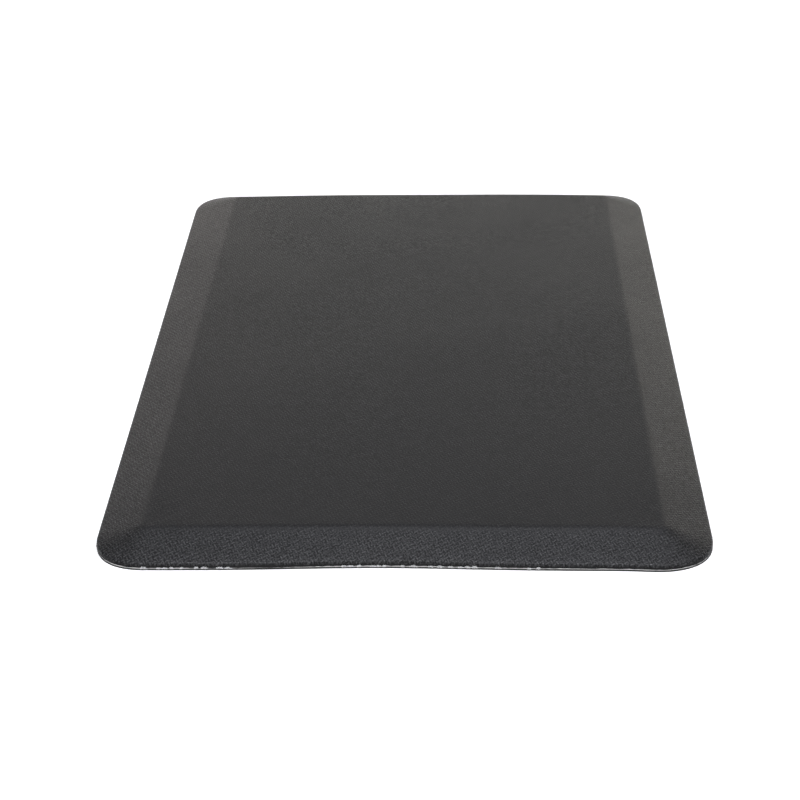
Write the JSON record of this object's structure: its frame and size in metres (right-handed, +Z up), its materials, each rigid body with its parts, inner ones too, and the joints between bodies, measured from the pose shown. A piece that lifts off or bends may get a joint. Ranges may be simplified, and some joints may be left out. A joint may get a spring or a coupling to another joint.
{
  "type": "anti fatigue mat",
  "caption": "Flat rectangular standing mat with sloped edges and rounded corners: embossed vinyl cover over a foam core on a studded non-slip base.",
  "frame": {"origin": "middle of the underside, on the floor", "axes": "+Z up, +Y along the long side, +X across the short side"},
  "size_m": [0.508, 0.762, 0.019],
  "materials": {
    "embossed_vinyl": "satin",
    "white_knit": "matte",
    "foam": "matte",
    "base_rubber": "matte"
  },
  "bodies": {
    "root": {"cover_skin": "embossed_vinyl", "knit_backing": "white_knit", "foam_core": "foam", "base_sheet": "base_rubber"}
  },
  "joints": []
}
